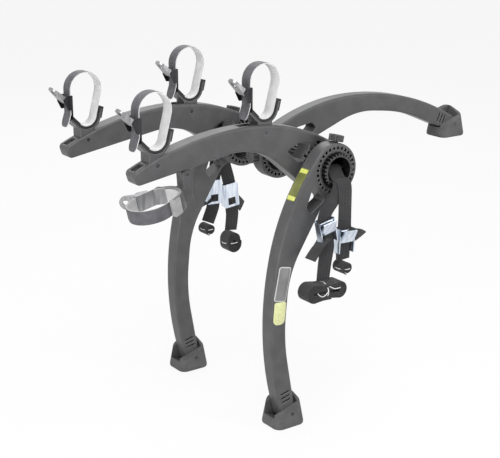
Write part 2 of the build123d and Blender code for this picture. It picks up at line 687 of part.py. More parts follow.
def make_knob(name, frame):
    """Fluted clamp knob moulded on its stud."""
    base = clamp_plane(frame, HUB_R + KNOB_GAP)
    with BuildPart() as knob:
        with BuildSketch(base):
            Circle(KNOB_R)
            with PolarLocations(KNOB_R, KNOB_FLUTE_COUNT):
                Circle(KNOB_FLUTE_R, mode=Mode.SUBTRACT)
        extrude(amount=KNOB_HEIGHT)
        with BuildSketch(base.offset(KNOB_HEIGHT)):
            Circle(KNOB_DISH_R)
        extrude(amount=-KNOB_DISH_DEPTH, mode=Mode.SUBTRACT)
        with BuildSketch(base):
            Circle(STUD_R)
        extrude(amount=-(HUB_R + KNOB_GAP - HUB_BORE_R - SHOE_THICKNESS))
    save(knob, name)


def make_shoe(name, frame):
    """Clamp shoe between the stud and the splines, hollowed to the hub's bore."""
    with BuildPart() as shoe:
        with BuildSketch(clamp_plane(frame, 0)):
            Rectangle(SHOE_WIDTH, SHOE_LENGTH)
        extrude(amount=HUB_BORE_R + SHOE_THICKNESS - SHOE_CLEAR)
        with BuildSketch(frame):
            Circle(HUB_BORE_R)
        extrude(amount=SHOE_WIDTH, both=True, mode=Mode.SUBTRACT)
    save(shoe, name)


def make_foot(name, frame, reach):
    """Rubber boot: a flared pad, a slanted rim and a slot that lets the leg lean."""
    ankle = frame.from_local_coords(Vector(reach, 0, 0))
    sole = Plane(origin=(ankle.X - FOOT_PIVOT_BACK, ankle.Y, ankle.Z - FOOT_PIVOT_HEIGHT),
                 x_dir=(1, 0, 0), z_dir=(0, 0, 1))
    side = Plane(origin=tuple(ankle), x_dir=(1, 0, 0), z_dir=(0, -1, 0))
    room = ANKLE_R + FOOT_CLEAR
    with BuildPart() as foot:
        with BuildSketch(sole):
            RectangleRounded(FOOT_LENGTH, FOOT_WIDTH, FOOT_CORNER_R)
        extrude(amount=FOOT_SOLE)
        with BuildSketch(sole.offset(FOOT_SOLE)):
            RectangleRounded(FOOT_LENGTH, FOOT_WIDTH, FOOT_CORNER_R)
        with BuildSketch(sole.offset(FOOT_HEIGHT)):
            RectangleRounded(FOOT_TOP_LENGTH, FOOT_TOP_WIDTH, FOOT_CORNER_R)
        loft()
        fillet(foot.faces().sort_by(Axis.Z)[0].edges(), radius=FOOT_SOLE / 2)
        rim = Plane(origin=tuple(sole.origin + Vector(0, 0, FOOT_RIM_HEIGHT)),
                    z_dir=(-FOOT_RIM_SLOPE_X, -FOOT_RIM_SLOPE_Y, 1))
        split(bisect_by=rim, keep=Keep.BOTTOM)
        with BuildSketch(side):
            Circle(room)
            for step in range(FOOT_LEAN_STEPS + 1):
                lean = FOOT_LEAN_MIN + (FOOT_LEAN_MAX - FOOT_LEAN_MIN) * step / FOOT_LEAN_STEPS
                with Locations(Location((0, 0), 90 + lean)):
                    with Locations((FOOT_HEIGHT, 0)):
                        Rectangle(2 * FOOT_HEIGHT, 2 * room)
        extrude(amount=LEG_WIDTH / 2 + FOOT_CLEAR, both=True, mode=Mode.SUBTRACT)
        with BuildSketch(side):
            Circle(FOOT_PIN_R)
        extrude(amount=FOOT_WIDTH, both=True, mode=Mode.SUBTRACT)
    save(foot, name)
    with BuildPart() as pin:
        with BuildSketch(side):
            Circle(FOOT_PIN_R - PIN_CLEAR)
        taper = (FOOT_PIVOT_HEIGHT - FOOT_SOLE) / (FOOT_HEIGHT - FOOT_SOLE)
        extrude(amount=(FOOT_WIDTH - (FOOT_WIDTH - FOOT_TOP_WIDTH) * taper) / 2, both=True)
    save(pin, name + "_pin")


def add_ribbon(sign, above, spot, below):
    """Flat webbing along its route, straight where it runs through its cam buckle."""
    x, z, lean = spot
    down = polar(CAM_FRAME_LENGTH / 2 + 2 * WEB_T, lean)
    cam = ((x - down.X, WEB_HANG_Y, z - down.Y), (x + down.X, WEB_HANG_Y, z + down.Y))
    points = [(px, sign * py, pz) for px, py, pz in above + cam + below]
    sections = []
    for index, point in enumerate(points):
        ahead = points[min(index + 1, len(points) - 1)]
        behind = points[max(index - 1, 0)]
        travel = (Vector(*ahead) - Vector(*behind)).normalized()
        width = Vector(1, 0, 0) - travel * travel.X
        with BuildSketch(Plane(origin=point, x_dir=width, z_dir=travel)) as section:
            Rectangle(WEB_WIDTH, WEB_T)
        sections.append(section.sketch.face())
    loft(sections, ruled=True)


def winding_side(shift, first_radius, half_turns, length):
    """One face of a rolled strap: half turns about two centres, with runs between."""
    start = end = Vector(length / 2, -first_radius - shift)
    for turn in range(half_turns):
        side = 1 - 2 * (turn % 2)
        radius = first_radius + turn * ROLL_PITCH / 2 + shift
        centre = Vector(side * length / 2, (side - 1) * ROLL_PITCH / 4)
        if turn and length:
            Line(end, centre + Vector(0, side * -radius))
        CenterArc(centre, radius, -90 * side, 180)
        end = centre + Vector(0, side * radius)
    return start, end


def add_roll(plane, first_radius, half_turns, length):
    """Rolled or folded strap, as one spiral strip of webbing."""
    with BuildSketch(plane) as roll:
        with BuildLine():
            outer_start, outer_end = winding_side(WEB_T / 2, first_radius, half_turns, length)
            inner_start, inner_end = winding_side(-WEB_T / 2, first_radius, half_turns, length)
            Line(outer_start, inner_start)
            Line(outer_end, inner_end)
        make_face()
    extrude(roll.sketch, amount=WEB_WIDTH / 2, both=True)


def cam_plane(sign, spot):
    """Plane of a cam buckle: local y is down the strap and local z is away from the tube."""
    x, z, lean = spot
    down = polar(1, lean)
    return Plane(origin=(x, sign * WEB_HANG_Y, z), x_dir=(-sign * down.Y, 0, sign * down.X),
                 z_dir=(0, sign, 0))


def add_cam_frame(plane):
    """Cam buckle's body: floor, two side walls and two cross bars."""
    half = WEB_WIDTH / 2 + CAM_SIDE_GAP
    floor = -WEB_T / 2 - CAM_SIDE_GAP
    with BuildSketch(plane.offset(floor - CAM_FRAME_WALL)) as base:
        RectangleRounded(2 * (half + CAM_FRAME_WALL), CAM_FRAME_LENGTH, CAM_FRAME_WALL)
        with Locations((0, CAM_FRAME_LENGTH / 4)):
            Rectangle(WEB_WIDTH * CAM_WINDOW_SHARE, CAM_FRAME_LENGTH * CAM_WINDOW_SHARE / 2, mode=Mode.SUBTRACT)
    extrude(base.sketch, amount=CAM_FRAME_WALL)
    with BuildSketch(plane.offset(floor)) as walls:
        for sign in (-1, 1):
            with Locations((sign * (half + CAM_FRAME_WALL / 2), 0)):
                Rectangle(CAM_FRAME_WALL, CAM_FRAME_LENGTH - 2 * CAM_FRAME_WALL)
    extrude(walls.sketch, amount=CAM_FRAME_DEPTH)
    for spot in (0, -CAM_FRAME_LENGTH / 2 + 2 * CAM_BAR_R + CAM_FRAME_WALL):
        with BuildSketch(cam_bar_plane(plane, spot)) as bar:
            Circle(CAM_BAR_R)
        extrude(bar.sketch, amount=half + CAM_FRAME_WALL, both=True)


def cam_bar_plane(plane, along):
    """Plane across a cam buckle's bar, at a distance down the strap."""
    height = WEB_T / 2 + CAM_SIDE_GAP + CAM_BARREL_R
    return Plane(origin=plane.from_local_coords(Vector(0, along, height)), x_dir=plane.y_dir, z_dir=plane.x_dir)


def make_cam_lever(name, plane):
    """Cam on its bar, with a thumb tab that points back up the strap."""
    with BuildPart() as cam:
        with BuildSketch(cam_bar_plane(plane, 0)):
            with Locations(Location((0, 0), CAM_REST_ANGLE)):
                Circle(CAM_BARREL_R)
                with Locations((CAM_LENGTH / 2, CAM_T / 2 - CAM_BARREL_R)):
                    Rectangle(CAM_LENGTH, CAM_T)
            Circle(CAM_BAR_R + PIN_CLEAR, mode=Mode.SUBTRACT)
        extrude(amount=WEB_WIDTH / 2, both=True)
    save(cam, name)


# Spine tube with its splines and cross holes for the strap pins
pin_y = TUBE_LENGTH / 2 - STRAP_PIN_INSET
with BuildPart() as tube:
    with BuildSketch(side_plane(0)):
        Circle(SPLINE_ROOT_R)
        with PolarLocations(SPLINE_ROOT_R, SPLINE_COUNT):
            Rectangle(2 * (SPLINE_TIP_R - SPLINE_ROOT_R), SPLINE_WIDTH)
        Circle(TUBE_BORE_R, mode=Mode.SUBTRACT)
    extrude(amount=TUBE_LENGTH / 2, both=True)
    for y in (-pin_y, pin_y):
        with BuildSketch(Plane(origin=(0, y, 0), x_dir=(0, 1, 0), z_dir=(1, 0, 0))):
            Circle(STRAP_PIN_R + PIN_CLEAR)
        extrude(amount=SPLINE_TIP_R + OVERRUN, both=True, mode=Mode.SUBTRACT)
save(tube, "spine_tube")

with BuildPart() as pins:
    for y in (-pin_y, pin_y):
        with BuildSketch(Plane(origin=(0, y, 0), x_dir=(0, 1, 0), z_dir=(1, 0, 0))):
            Circle(STRAP_PIN_R)
        extrude(amount=SPLINE_ROOT_R, both=True)
save(pins, "strap_anchor_pins")

# Limbs; pocket rings face the tube's right end, and both ways on the middle hub
make_leg("right_leg", LOWER_RIGHT, LOWER_LEG_REACH, (-1,))
make_leg("left_leg", LOWER_LEFT, LOWER_LEG_REACH, (-1,))
make_leg("upper_leg", UPPER, UPPER_LEG_REACH, (-1, 1))
ARM_SIDE = arm_face()
make_arm("right_arm", ARM_RIGHT, ARM_SIDE, True)
make_arm("left_arm", ARM_LEFT, ARM_SIDE, False)

for limb, frame in (("right_leg", LOWER_RIGHT), ("left_leg", LOWER_LEFT), ("upper_leg", UPPER),
                    ("right_arm", ARM_RIGHT), ("left_arm", ARM_LEFT)):
    make_knob(limb + "_knob", frame)
    make_shoe(limb + "_shoe", frame)

make_foot("right_foot", LOWER_RIGHT, LOWER_LEG_REACH)
make_foot("left_foot", LOWER_LEFT, LOWER_LEG_REACH)
make_foot("upper_foot", UPPER, UPPER_LEG_REACH)

# Cradles on the arms, and the stabiliser under the right arm
for hand, frame in (("right", ARM_RIGHT), ("left", ARM_LEFT)):
    for place, seat in zip(("outer", "inner"), SEATS):
        make_saddle(f"{hand}_{place}_saddle", frame, ARM_SIDE, seat)
        make_cradle(f"{hand}_{place}", seat_plane(frame.origin.Y, seat), LOOP)
    make_saddle_screws(f"{hand}_saddle_screws", frame)
sway_out = polar(1, -SWAY_TILT)
SWAY_VIEW = Plane(origin=(SWAY_X, -ARM_Y, SWAY_Z), x_dir=(0, -1, 0), z_dir=(-sway_out.Y, 0, -sway_out.X))
make_sway_bracket("sway_bracket", ARM_RIGHT, SWAY_VIEW)
make_cradle("sway", SWAY_VIEW, SWAY_LOOP)

# Tie-down webbing and cam buckles at both mouths
for hand, sign, spots, routes, rolls in (("right", -1, RIGHT_CAMS, RIGHT_ROUTES, RIGHT_ROLLS),
                                         ("left", 1, LEFT_CAMS, LEFT_ROUTES, LEFT_ROLLS)):
    with BuildPart() as webbing:
        for (above, below), spot in zip(routes, spots):
            add_ribbon(sign, above, spot, below)
        for x, y, z, turn, length, half_turns in rolls:
            slant = polar(1, turn)
            add_roll(Plane(origin=(x, sign * y, z), x_dir=(slant.X, 0, slant.Y), z_dir=(0, -1, 0)),
                     ROLL_FIRST_R, half_turns, length)
    save(webbing, hand + "_webbing")
    with BuildPart() as frames:
        for spot in spots:
            add_cam_frame(cam_plane(sign, spot))
    save(frames, hand + "_cam_frames")
    for which, spot in zip("ab", spots):
        make_cam_lever(f"{hand}_cam_lever_{which}", cam_plane(sign, spot))
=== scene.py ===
import json
import math

import bmesh
import bpy
from mathutils import Matrix, Vector


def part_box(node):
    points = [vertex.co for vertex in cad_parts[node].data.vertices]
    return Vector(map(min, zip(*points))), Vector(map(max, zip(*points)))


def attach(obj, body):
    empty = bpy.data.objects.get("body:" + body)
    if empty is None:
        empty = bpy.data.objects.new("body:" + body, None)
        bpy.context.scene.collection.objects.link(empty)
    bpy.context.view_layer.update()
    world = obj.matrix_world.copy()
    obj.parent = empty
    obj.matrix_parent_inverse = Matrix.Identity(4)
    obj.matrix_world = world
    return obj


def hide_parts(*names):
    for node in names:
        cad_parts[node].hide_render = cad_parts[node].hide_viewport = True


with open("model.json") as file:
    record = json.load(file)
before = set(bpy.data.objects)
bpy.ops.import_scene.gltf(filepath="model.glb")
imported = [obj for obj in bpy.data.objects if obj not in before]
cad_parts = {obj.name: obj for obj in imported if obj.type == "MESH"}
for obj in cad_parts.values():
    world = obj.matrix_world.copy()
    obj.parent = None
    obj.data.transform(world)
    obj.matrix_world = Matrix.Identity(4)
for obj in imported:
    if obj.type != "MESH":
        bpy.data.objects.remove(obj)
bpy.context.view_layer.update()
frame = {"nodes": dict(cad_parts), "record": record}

MM = 0.001

# Camera, solved from the photograph, for a picture 500 by 458
CAMERA_AT = Vector((-1.1243, -1.5134, 0.4402))
CAMERA_TO = Vector((-0.0346, 0.0243, -0.1293))
LENS_MM = 86.86
SENSOR_MM = 36.0

# Stage; each lamp has a name, a place, an aim, a size in metres and a power in watts
FLOOR_REACH = 15.0
FLOOR_WHITE = (0.85, 0.85, 0.85)
FLOOR_PLAIN_SHARE = 0.88
SURROUND_LIGHT = (0.4, 0.4, 0.41)
LAMPS = (
    ("key", (-0.9, -1.3, 1.9), (-0.1, 0, 0.0), 1.0, 24.0),
    ("front", (-1.7, -0.8, -0.15), (-0.1, -0.1, -0.3), 0.8, 15.0),
    ("side", (1.2, -1.75, 0.3), (0.2, -0.05, 0.1), 0.7, 10.0),
    ("top", (-0.1, -0.3, 1.7), (-0.05, 0, 0.0), 1.2, 15.0),
    ("rim", (0.6, 1.8, 1.6), (0, 0, 0), 1.6, 14.0),
)

# Lines of the CAD model that the dressing follows, in millimetres
LEG_Y = -137.0
LEG_HALF_WIDTH = 13.0
HUB_R = 41.0
LEG_CHORD_DEG = -102.7
LEG_TANGENT_DEG = 118.0
LEG_CROWN = (140.16, 76.5)
STRAP_WIDTH = 21.0
STRAP_T = 2.0
CRADLE_LOOP = dict(bottom=16.0, middle=20.7, top=26.0, spread=39.5, tail=27.5)
SWAY_LOOP = dict(bottom=24.0, middle=28.7, top=32.0, spread=22.0, tail=27.5)
OUTER_SEAT = (-289.5, 57.0)
INNER_SEAT = (-104.0, 79.5)
ARM_Y = 101.0
SWAY_AT = (-246.0, -101.0, -11.5)
SWAY_UP = (-0.974, 0.0, -0.225)
WEB_WIDTH = 25.0
WEB_T = 1.7
HANG_Y = 166.0
ROLL_PITCH = 2.5
ROLL_FIRST_R = 2.4

# Texture of the surfaces: scales per metre, reaches and depths in metres
CLOUD_SCALE = 48.0
PLASTIC_DEPTH = 0.0003
CREVICE_REACH = 0.006
CREVICE_SHUT = 0.3
CREVICE_OPEN = 0.62
DUST_SCALE = 60.0
RUBBER_GRAIN_SCALE = 1100.0
RUBBER_GRAIN = 0.35
STREAK_SCALE = 180.0
STREAK_DEPTH = 0.0002
STRAP_CLOUD_SCALE = 70.0
STRAP_GRAIN_SCALE = 400.0
STRAP_GRAIN = 0.04
WEAVE_RIB = 0.0031
WEAVE_ROW = 0.0016
WEAVE_SLOPE = 0.9
WEAVE_DEPTH = 0.0004
WEAVE_CLOUD_SCALE = 45.0
FILM_CELL_SCALE = 550.0
BLACK = (0.0, 0.0, 0.0)
WHITE = (1.0, 1.0, 1.0)


def polar(radius, degrees):
    return Vector((radius * math.cos(math.radians(degrees)), radius * math.sin(math.radians(degrees))))


# Materials

def new_material(name, color, roughness, metallic=0.0, specular=0.5):
    """A Principled material with its colour and roughness set on the shader."""
    material = bpy.data.materials.new(name)
    material.use_nodes = True
    shader = material.node_tree.nodes["Principled BSDF"]
    shader.inputs["Base Color"].default_value = (*color, 1)
    shader.inputs["Roughness"].default_value = roughness
    shader.inputs["Metallic"].default_value = metallic
    shader.inputs["Specular IOR Level"].default_value = specular
    material.diffuse_color = (*color, 1)
    return material, material.node_tree, shader


def add_node(tree, kind, **values):
    node = tree.nodes.new(kind)
    for key, value in values.items():
        setattr(node, key, value)
    return node


def noise(tree, scale, detail=4.0, stretch=(1, 1, 1)):
    """Noise in the object's own coordinates, stretched along an axis for grain."""
    place = add_node(tree, "ShaderNodeTexCoord")
    mapping = add_node(tree, "ShaderNodeMapping")
    mapping.inputs["Scale"].default_value = stretch
    texture = add_node(tree, "ShaderNodeTexNoise")
    texture.inputs["Scale"].default_value = scale
    texture.inputs["Detail"].default_value = detail
    tree.links.new(place.outputs["Object"], mapping.inputs["Vector"])
    tree.links.new(mapping.outputs["Vector"], texture.inputs["Vector"])
    return texture.outputs["Fac"]


def ramp(tree, value, *stops):
    """Colour ramp: each stop is a position with a colour, or with a grey level."""
    node = add_node(tree, "ShaderNodeValToRGB")
    for element, (position, color) in zip(node.color_ramp.elements, stops):
        element.position = position
        element.color = (*color, 1) if isinstance(color, tuple) else (color, color, color, 1)
    tree.links.new(value, node.inputs["Fac"])
    return node.outputs["Color"]


def mixed(tree, factor, first, second):
    """Mix of two colours, each a socket or a fixed colour."""
    node = add_node(tree, "ShaderNodeMix", data_type="RGBA")
    for socket, value in ((node.inputs[0], factor), (node.inputs[6], first), (node.inputs[7], second)):
        if isinstance(value, bpy.types.NodeSocket):
            tree.links.new(value, socket)
        else:
            socket.default_value = (*value, 1)
    return node.outputs[2]


def math_node(tree, operation, first, second=0.0, clamp=False):
    node = add_node(tree, "ShaderNodeMath", operation=operation, use_clamp=clamp)
    for socket, value in zip(node.inputs, (first, second)):
        if isinstance(value, bpy.types.NodeSocket):
            tree.links.new(value, socket)
        else:
            socket.default_value = value
    return node.outputs[0]


def add_bump(tree, shader, height, strength, distance, round_edges=0.0):
    """Surface grain, on edges that look as round as a moulding's."""
    bump = add_node(tree, "ShaderNodeBump")
    if round_edges:
        bevel = add_node(tree, "ShaderNodeBevel", samples=6)
        bevel.inputs["Radius"].default_value = round_edges
        tree.links.new(bevel.outputs["Normal"], bump.inputs["Normal"])
    bump.inputs["Strength"].default_value = strength
    bump.inputs["Distance"].default_value = distance
    tree.links.new(height, bump.inputs["Height"])
    tree.links.new(bump.outputs["Normal"], shader.inputs["Normal"])


def highlight_edge_mask(tree, radius, gain):
    """1 on sharp edges, where a painted highlight lightens a moulding, and 0 on its faces."""
    bevel = add_node(tree, "ShaderNodeBevel", samples=4)
    bevel.inputs["Radius"].default_value = radius
    geometry = add_node(tree, "ShaderNodeNewGeometry")
    dot = add_node(tree, "ShaderNodeVectorMath", operation="DOT_PRODUCT")
    tree.links.new(bevel.outputs["Normal"], dot.inputs[0])
    tree.links.new(geometry.outputs["Normal"], dot.inputs[1])
    gap = math_node(tree, "SUBTRACT", 1.0, dot.outputs["Value"])
    return math_node(tree, "MULTIPLY", gap, gain, clamp=True)


def crevice_shade_mask(tree):
    """1 in narrow slots and pockets, which get painted shade, and 0 on open faces."""
    crevice = add_node(tree, "ShaderNodeAmbientOcclusion", samples=8, only_local=True)
    crevice.inputs["Distance"].default_value = CREVICE_REACH
    return ramp(tree, crevice.outputs["AO"], (CREVICE_SHUT, WHITE), (CREVICE_OPEN, BLACK))


def moulded_plastic(name, low, high, rough, grain_scale, grain, edge_highlight,
                    edge=(0.0012, 1.4), round_edges=0.0, crevice_shade=None, specular=0.5):
    """Moulded plastic: cloudy tone, spark-eroded grain, a painted highlight on sharp edges and, when a shade
    colour is given, painted shade in slots and pockets.
    """
    material, tree, shader = new_material(name, high, rough[0], specular=specular)
    tone = ramp(tree, noise(tree, CLOUD_SCALE, 8.0), (0.34, low), (0.66, high))
    # Painted highlight: sharp edges lightened towards a pale colour.
    tone = mixed(tree, highlight_edge_mask(tree, *edge), tone, edge_highlight)
    # Painted shade: slots and pockets darkened towards a near-black colour.
    if crevice_shade:
        tone = mixed(tree, crevice_shade_mask(tree), tone, crevice_shade)
    tree.links.new(tone, shader.inputs["Base Color"])
    fine = noise(tree, grain_scale, 2.0)
    tree.links.new(ramp(tree, fine, (0.25, rough[0]), (0.75, rough[1])), shader.inputs["Roughness"])
    add_bump(tree, shader, fine, grain, PLASTIC_DEPTH, round_edges)
    return material


def rubber(name, low, high, rough):
    """Soft rubber with a dusty bloom."""
    material, tree, shader = new_material(name, low, rough, specular=0.3)
    dust = noise(tree, DUST_SCALE, 6.0)
    tree.links.new(ramp(tree, dust, (0.35, low), (0.8, high)), shader.inputs["Base Color"])
    add_bump(tree, shader, noise(tree, RUBBER_GRAIN_SCALE, 2.0), RUBBER_GRAIN, PLASTIC_DEPTH)
    return material


def metal(name, low, high, rough, stretch, scratch):
    """Pressed or drawn metal with fine scratches along one axis."""
    material, tree, shader = new_material(name, high, rough[0], metallic=1.0)
    streak = noise(tree, STREAK_SCALE, 6.0, stretch)
    tree.links.new(ramp(tree, streak, (0.3, low), (0.7, high)), shader.inputs["Base Color"])
    tree.links.new(ramp(tree, streak, (0.2, rough[0]), (0.8, rough[1])), shader.inputs["Roughness"])
    add_bump(tree, shader, streak, scratch, STREAK_DEPTH)
    return material


def strap_plastic(name, low, high, rough):
    """Smooth, slightly cloudy strap plastic that lets a little light in."""
    material, tree, shader = new_material(name, high, rough)
    cloud = noise(tree, STRAP_CLOUD_SCALE)
    tree.links.new(ramp(tree, cloud, (0.3, low), (0.7, high)), shader.inputs["Base Color"])
    add_bump(tree, shader, noise(tree, STRAP_GRAIN_SCALE, 2.0), STRAP_GRAIN, STREAK_DEPTH)
    shader.inputs["Subsurface Weight"].default_value = 0.12
    shader.inputs["Subsurface Radius"].default_value = (0.001, 0.001, 0.001)
    return material


def webbing_material(name, dark, light):
    """Woven polyester: rows of chevrons across the strap, and lengthwise ribs."""
    material, tree, shader = new_material(name, dark, 0.72, specular=0.25)
    place = add_node(tree, "ShaderNodeUVMap", uv_map="strap")
    split = add_node(tree, "ShaderNodeSeparateXYZ")
    tree.links.new(place.outputs["UV"], split.inputs["Vector"])
    across, along = split.outputs["X"], split.outputs["Y"]
    fold = math_node(tree, "PINGPONG", across, WEAVE_RIB)
    chevron = math_node(tree, "ADD", along, math_node(tree, "MULTIPLY", fold, WEAVE_SLOPE))
    weft = math_node(tree, "SINE", math_node(tree, "MULTIPLY", chevron, 2 * math.pi / WEAVE_ROW))
    warp = math_node(tree, "SINE", math_node(tree, "MULTIPLY", across, 2 * math.pi / WEAVE_RIB))
    height = math_node(tree, "ADD", math_node(tree, "MULTIPLY", weft, 0.6),
                       math_node(tree, "MULTIPLY", warp, 0.4))
    lift = math_node(tree, "MULTIPLY_ADD", height, 0.5)
    tone = ramp(tree, noise(tree, WEAVE_CLOUD_SCALE), (0.3, dark), (0.75, light))
    # Lighter on the raised threads of the weave.
    raised_lighter = math_node(tree, "MULTIPLY", lift, 0.35, clamp=True)
    tree.links.new(mixed(tree, raised_lighter, tone, light), shader.inputs["Base Color"])
    add_bump(tree, shader, height, 0.6, WEAVE_DEPTH)
    shader.inputs["Sheen Weight"].default_value = 0.2
    shader.inputs["Sheen Roughness"].default_value = 0.5
    return material


def reflector_material(name, base, bright):
    """Reflective film: honeycomb of tiny cells under a clear coat."""
    material, tree, shader = new_material(name, base, 0.35)
    place = add_node(tree, "ShaderNodeTexCoord")
    cells = add_node(tree, "ShaderNodeTexVoronoi")
    cells.inputs["Scale"].default_value = FILM_CELL_SCALE
    tree.links.new(place.outputs["Object"], cells.inputs["Vector"])
    distance = cells.outputs["Distance"]
    tree.links.new(ramp(tree, distance, (0.1, bright), (0.6, base)), shader.inputs["Base Color"])
    add_bump(tree, shader, distance, 0.2, PLASTIC_DEPTH)
    shader.inputs["Coat Weight"].default_value = 0.6
    return material


# Body: the third colour is a painted highlight on sharp edges, and the last colour is painted shade in slots
# and pockets.
BODY = moulded_plastic("body_plastic", (0.07, 0.07, 0.072), (0.088, 0.088, 0.09), (0.3, 0.44), 1500.0, 0.3,
                       (0.36, 0.36, 0.37), (0.0014, 2.0), 0.0028, (0.012, 0.012, 0.013), 0.3)
# Knob: the third colour is a painted highlight on sharp edges.
KNOB = moulded_plastic("knob_plastic", (0.028, 0.028, 0.03), (0.045, 0.045, 0.047), (0.28, 0.4), 1500.0, 0.25,
                       (0.16, 0.16, 0.16), (0.0012, 2.0), 0.002)
BOOT = rubber("boot_rubber", (0.075, 0.075, 0.076), (0.12, 0.12, 0.12), 0.6)
LINER = rubber("liner_rubber", (0.012, 0.012, 0.013), (0.035, 0.035, 0.036), 0.5)
PALE_LINER = rubber("pale_liner_rubber", (0.28, 0.28, 0.28), (0.42, 0.42, 0.42), 0.55)
TUBE = metal("tube_anodised", (0.05, 0.05, 0.052), (0.09, 0.09, 0.093), (0.35, 0.5), (1, 0.05, 1), 0.2)
STRAP_OUTER = strap_plastic("strap_outer", (0.07, 0.07, 0.077), (0.12, 0.12, 0.13), 0.62)
# Painted highlight: a pale copy of the strap plastic for the inner face, edges and ends of the straps.
STRAP_INNER_LIT = strap_plastic("strap_inner_painted_light", (0.55, 0.55, 0.55), (0.7, 0.7, 0.7), 0.5)
LEVER_STEEL = metal("lever_steel", (0.2, 0.2, 0.205), (0.4, 0.4, 0.41), (0.28, 0.42), (1, 1, 0.15), 0.04)
BUCKLE_STEEL = metal("buckle_steel", (0.025, 0.025, 0.027), (0.055, 0.055, 0.058), (0.32, 0.48),
                     (1, 1, 0.15), 0.04)
CAM_STEEL = metal("cam_steel", (0.45, 0.51, 0.61), (0.8, 0.85, 0.92), (0.2, 0.38), (1, 1, 0.15), 0.06)
SCREW = metal("screw_steel", (0.05, 0.05, 0.052), (0.09, 0.09, 0.093), (0.35, 0.5), (1, 1, 1), 0.1)
WEBBING = webbing_material("webbing_weave", (0.014, 0.014, 0.015), (0.034, 0.034, 0.036))
# Tie: the third colour is a painted highlight on sharp edges.
TIE = moulded_plastic("tie_plastic", (0.62, 0.62, 0.6), (0.75, 0.75, 0.73), (0.4, 0.55), 900.0, 0.1,
                      (0.85, 0.85, 0.84))
SLOT_LOOKS = {"body_plastic": BODY, "knob_plastic": KNOB, "boot_rubber": BOOT, "tube": TUBE,
              "liner_rubber": LINER, "strap_plastic": STRAP_OUTER, "buckle_steel": BUCKLE_STEEL,
              "cam_steel": CAM_STEEL, "webbing": WEBBING, "fasteners": SCREW}


def finish_of(part):
    """A CAD node's finish: its slot's, apart from the ratchet levers and the stabiliser."""
    node, slot = part["node"], part["material_slot"]
    if node == "sway_liner":
        return PALE_LINER
    if node == "sway_buckle" or (slot == "buckle_steel" and "lever" in node):
        return LEVER_STEEL
    return SLOT_LOOKS[slot]


def dress_cad_nodes():
    for part in frame["record"]["subparts"]:
        mesh = frame["nodes"][part["node"]].data
        mesh.materials.clear()
        mesh.materials.append(finish_of(part))


# Meshes

def mesh_piece(name, verts, faces, material, body):
    """A new mesh object that rides on a body, with its material."""
    mesh = bpy.data.meshes.new(name)
    mesh.from_pydata([tuple(v) for v in verts], [], faces)
    mesh.validate()
    piece = bpy.data.objects.new(name, mesh)
    bpy.context.scene.collection.objects.link(piece)
    mesh.materials.append(material)
    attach(piece, body)
    return piece


def soften(piece, angle_deg=40.0):
    """Smooth shading with sharp edges kept, and outward faces."""
    edit = bmesh.new()
    edit.from_mesh(piece.data)
    bmesh.ops.recalc_face_normals(edit, faces=edit.faces)
    for face in edit.faces:
        face.smooth = True
    for edge in edit.edges:
        if len(edge.link_faces) == 2:
            edge.smooth = edge.calc_face_angle(0) < math.radians(angle_deg)
    edit.to_mesh(piece.data)
    edit.free()


def smooth_line(points):
    """Points along the NURBS line that a row of points controls."""
    curve = bpy.data.curves.new("line", "CURVE")
    curve.dimensions = "3D"
    curve.resolution_u = 14
    spline = curve.splines.new("NURBS")
    spline.points.add(len(points) - 1)
    for place, point in zip(spline.points, points):
        place.co = (*point, 1)
    spline.order_u = 3
    spline.use_endpoint_u = True
    holder = bpy.data.objects.new("line", curve)
    mesh = bpy.data.meshes.new_from_object(holder)
    line = [v.co.copy() for v in mesh.vertices]
    bpy.data.objects.remove(holder)
    bpy.data.curves.remove(curve)
    bpy.data.meshes.remove(mesh)
    return line


RIBBON_COLUMNS = 8
RIBBON_WAVE = 55.0


def ribbon(name, line, across, sway=0.0, cup=0.0):
    """Flat webbing along a line: across is its width's direction, or one for each end."""
    ends = across if isinstance(across[0], (tuple, Vector)) else (across, across)
    start, end = (Vector(direction) for direction in ends)
    columns = RIBBON_COLUMNS
    verts, uvs, faces = [], [], []
    run = 0.0
    for index, point in enumerate(line):
        ahead = line[min(index + 1, len(line) - 1)]
        behind = line[max(index - 1, 0)]
        travel = (ahead - behind).normalized()
        run += (point - behind).length if index else 0.0
        side = start.lerp(end, index / (len(line) - 1))
        side = (side - travel * side.dot(travel)).normalized()
        side = Matrix.Rotation(sway * math.sin(run * RIBBON_WAVE + len(name)), 3, travel) @ side
        normal = travel.cross(side)
        for layer in (0.5, -0.5):
            for column in range(columns + 1):
                place = column / columns - 0.5
                bulge = cup * (0.25 - place * place) * 4 * MM
                verts.append(point + side * place * WEB_WIDTH * MM + normal * (layer * WEB_T * MM + bulge))
                uvs.append((place * WEB_WIDTH * MM, run))
    ring = 2 * (columns + 1)
    for index in range(len(line) - 1):
        low, high = index * ring, (index + 1) * ring
        for column in range(columns):
            faces.append((low + column, low + column + 1, high + column + 1, high + column))
            faces.append((low + columns + 1 + column, high + columns + 1 + column,
                          high + columns + 2 + column, low + columns + 2 + column))
        faces.append((low, high, high + columns + 1, low + columns + 1))
        faces.append((low + columns, low + 2 * columns + 1, high + 2 * columns + 1, high + columns))
    for base in (0, (len(line) - 1) * ring):
        for column in range(columns):
            faces.append((base + column, base + column + 1,
                          base + columns + 2 + column, base + columns + 1 + column))
    piece = mesh_piece(name, verts, faces, WEBBING, "frame")
    layer = piece.data.uv_layers.new(name="strap")
    for loop in piece.data.loops:
        layer.data[loop.index].uv = uvs[loop.vertex_index]
    soften(piece)
    return piece


WINDING_STEPS = 12


